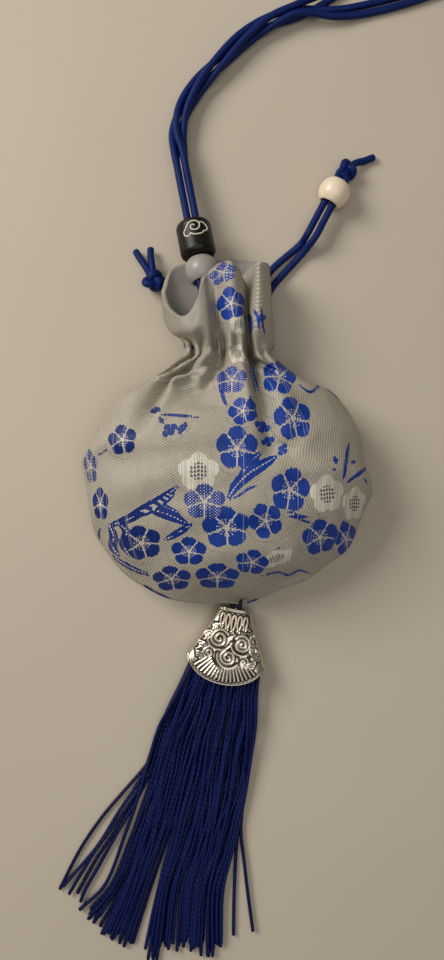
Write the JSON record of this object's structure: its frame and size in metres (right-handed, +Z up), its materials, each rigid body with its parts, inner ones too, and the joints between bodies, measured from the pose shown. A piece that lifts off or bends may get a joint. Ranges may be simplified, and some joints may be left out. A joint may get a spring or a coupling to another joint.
{
  "type": "drawstring pouch",
  "caption": "Small brocade drawstring pouch drawn shut, with sliding beads on its cords, a hanging loop and a capped tassel, lying on its back.",
  "frame": {"origin": "middle of the footprint, on the table, measured without the drawcords", "axes": "+X to the right, +Y from the tassel towards the mouth, +Z up off the table, through the front of the pouch"},
  "size_m": [0.1281, 0.3012, 0.028],
  "materials": {
    "brocade": "silver-beige twill brocade with blue and white woven blossom",
    "cord": "royal blue braided knotting cord, slight sheen",
    "grey_bead": "satin pale grey",
    "black_bead": "semi-gloss black with a pale inlaid cloud line",
    "ivory_bead": "satin ivory",
    "tassel_thread": "twisted silky thread, deep blue",
    "cap_silver": "bright antique silver with dark recesses"
  },
  "bodies": {
    "pouch": {"front_panel": "brocade", "back_panel": "brocade", "drawcord_left": "cord", "drawcord_right": "cord"},
    "barrel": {"barrel_bead": "black_bead"},
    "round": {"round_bead": "grey_bead"},
    "pull": {"pull_bead": "ivory_bead"},
    "tassel": {"tassel_loop": "tassel_thread", "tassel_cap": "cap_silver", "tassel_binding": "tassel_thread", "tassel_skein": "tassel_thread"}
  },
  "joints": [
    {"name": "barrel_slide", "type": "slide", "parent": "pouch", "child": "barrel", "axis": [-0.1865, 0.9676, -0.17], "range_m": [0, 0.012]},
    {"name": "round_bead_slide", "type": "slide", "parent": "pouch", "child": "round", "axis": [-0.1865, 0.9676, -0.17], "range_m": [0, 0.012]},
    {"name": "pull_bead_slide", "type": "slide", "parent": "pouch", "child": "pull", "axis": [-0.47, -0.8827, 0], "range_m": [0, 0.008]},
    {"name": "tassel_swing", "type": "hinge", "parent": "pouch", "child": "tassel", "pos_m": [0.00353, -0.00888, 0.0046], "axis": [0, 0, 1], "range_deg": [-12, 18]}
  ],
  "couplings": [
    {"joint": "round_bead_slide", "follows": "barrel_slide", "ratio": 1}
  ]
}
